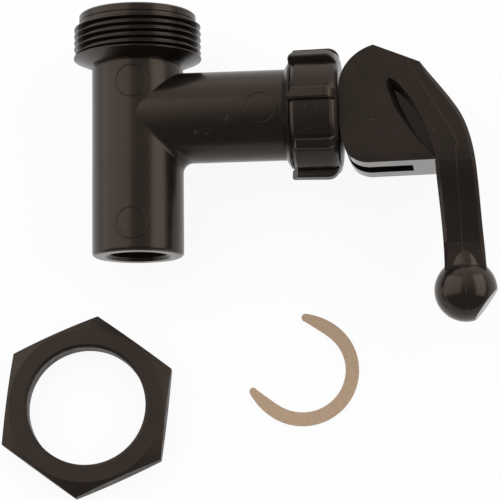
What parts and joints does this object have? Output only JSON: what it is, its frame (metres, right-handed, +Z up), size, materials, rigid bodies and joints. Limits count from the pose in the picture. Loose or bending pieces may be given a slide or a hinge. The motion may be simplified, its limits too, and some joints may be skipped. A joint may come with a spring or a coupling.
{
  "type": "pinch tube faucet",
  "caption": "Black moulded pinch tube faucet with threaded shank, spout, side branch, ribbed bonnet ring and cam lever with ball knob; hex locknut and horseshoe clip lie beside it.",
  "frame": {"origin": "centre of the bounding box on the floor that the pieces lie on", "axes": "+Z up from the floor, +X along the side branch towards the lever, +Y along the shank away from the spout (both axes tip a few degrees, because the faucet rests on its rim, rib and spout edge)"},
  "size_m": [0.127, 0.126, 0.0353],
  "materials": {
    "body_black": "glossy moulded",
    "bonnet_black": "glossy moulded",
    "lever_black": "satin moulded",
    "nut_black": "matte moulded",
    "clip_tan": "fine grain",
    "plunger_grey": "matte moulded",
    "stem_black": "matte moulded",
    "spring_steel": "drawn wire",
    "washer_steel": "stamped"
  },
  "bodies": {
    "faucet": {"valve_body": "body_black", "bonnet_ring": "bonnet_black", "closing_spring": "spring_steel", "spring_washer": "washer_steel", "hex_locknut": "nut_black", "horseshoe_clip": "clip_tan"},
    "plunger": {"pinch_plunger": "plunger_grey", "plunger_stem": "stem_black"},
    "lever": {"lever_handle": "lever_black"}
  },
  "joints": [
    {"name": "plunger_slide", "type": "slide", "parent": "faucet", "child": "plunger", "axis": [0.9985, 0, 0.0555], "range_m": [0, 0.00599], "deforming": ["closing_spring"]},
    {"name": "lever_hinge", "type": "hinge", "parent": "plunger", "child": "lever", "pos_m": [0.03284, 0.03402, 0.01844], "axis": [-0.0553, -0.0931, 0.9941], "range_deg": [0, 70], "stiffness_Nm_per_rad": 0.036, "springref_deg": -116.88}
  ],
  "couplings": [
    {"joint": "plunger_slide", "follows": "lever_hinge", "m_per_rad": 0.0049}
  ]
}
